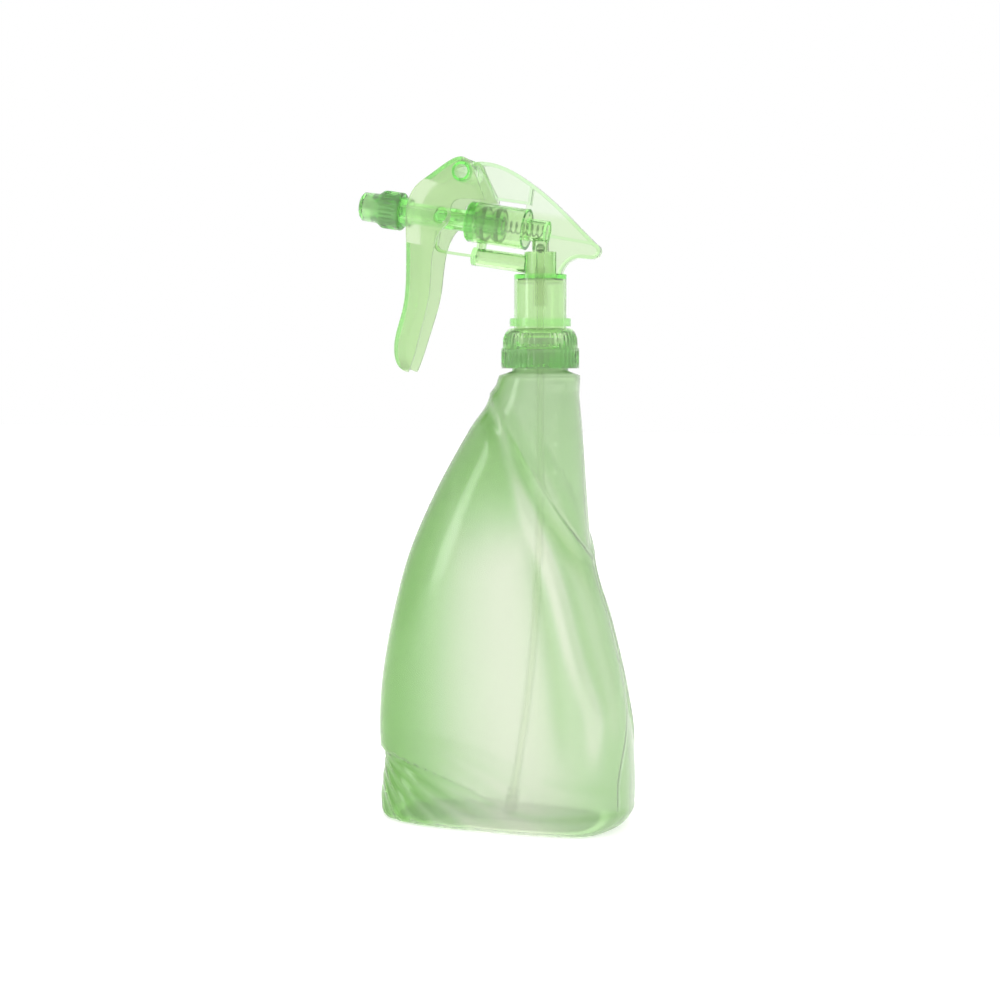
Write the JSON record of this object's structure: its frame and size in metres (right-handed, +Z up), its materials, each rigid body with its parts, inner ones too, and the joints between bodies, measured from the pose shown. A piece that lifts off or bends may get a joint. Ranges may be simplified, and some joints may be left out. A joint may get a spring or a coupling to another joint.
{
  "type": "hand mister",
  "caption": "Trigger-worked hand mister with a moving nozzle plunger, a finned pump head and a leaning translucent bottle.",
  "frame": {"origin": "on the base plane, under the axis of the bottle's neck", "axes": "+Z up the neck, -X the way the mister sprays, Y = 0 its plane of symmetry"},
  "size_m": [0.13, 0.0592, 0.3012],
  "materials": {
    "bottle_hdpe": "translucent green blow-moulded polyethylene",
    "closure_pp": "moulded green polypropylene",
    "clear_green_pp": "clear green moulded polypropylene",
    "green_pp": "translucent green moulded polypropylene",
    "nozzle_pp": "green moulded polypropylene",
    "natural_pp": "natural polypropylene",
    "natural_pe": "natural polyethylene tube",
    "white_pp": "white polypropylene",
    "mesh_nylon": "fine nylon mesh",
    "cup_ldpe": "soft natural polyethylene",
    "seal_foam": "white foamed polyethylene washer",
    "seal_rubber": "translucent silicone rubber",
    "spring_steel": "drawn stainless spring wire",
    "ball_steel": "polished stainless ball"
  },
  "bodies": {
    "root": {"bottle": "bottle_hdpe", "gasket": "seal_foam", "pump_body": "clear_green_pp", "barrel_cap": "green_pp", "intake_holder": "natural_pp", "dip_tube": "natural_pe", "strainer_cage": "white_pp", "strainer_mesh": "mesh_nylon", "return_spring": "spring_steel"},
    "closure": {"closure": "closure_pp"},
    "trigger": {"trigger": "green_pp"},
    "plunger": {"plunger": "green_pp", "piston_cup": "cup_ldpe", "vent_cup": "cup_ldpe", "nozzle_seal": "seal_rubber", "spinner": "white_pp", "discharge_spring": "spring_steel"},
    "nozzle": {"nozzle_cap": "nozzle_pp", "nozzle_orifice": "white_pp"},
    "intake_ball": {"intake_ball": "ball_steel"},
    "discharge_ball": {"discharge_ball": "ball_steel"}
  },
  "joints": [
    {"name": "trigger_hinge", "type": "hinge", "parent": "root", "child": "trigger", "pos_m": [-0.03367, 0, 0.29469], "axis": [0, -1, 0], "range_deg": [0, 20], "stiffness_Nm_per_rad": 0.35, "springref_deg": -20.05},
    {"name": "plunger_slide", "type": "slide", "parent": "root", "child": "plunger", "axis": [0.9877, 0, -0.1564], "range_m": [0, 0.00773], "deforming": ["return_spring"]},
    {"name": "nozzle_turn", "type": "hinge", "parent": "plunger", "child": "nozzle", "pos_m": [-0.07408, 0, 0.27993], "axis": [-0.9877, 0, 0.1564], "range_deg": [0, 360]},
    {"name": "closure_turn", "type": "hinge", "parent": "root", "child": "closure", "pos_m": [0, 0, 0.216], "axis": [0, 0, 1], "range_deg": [0, 540]},
    {"name": "intake_ball_lift", "type": "slide", "parent": "root", "child": "intake_ball", "axis": [0, 0, 1], "range_m": [0, 0.001]},
    {"name": "discharge_ball_lift", "type": "slide", "parent": "plunger", "child": "discharge_ball", "axis": [-0.9877, 0, 0.1564], "range_m": [0, 0.001], "stiffness_N_per_m": 20, "springref_m": -0.001, "deforming": ["discharge_spring"]}
  ],
  "couplings": [
    {"joint": "plunger_slide", "follows": "trigger_hinge", "m_per_rad": 0.021575}
  ]
}
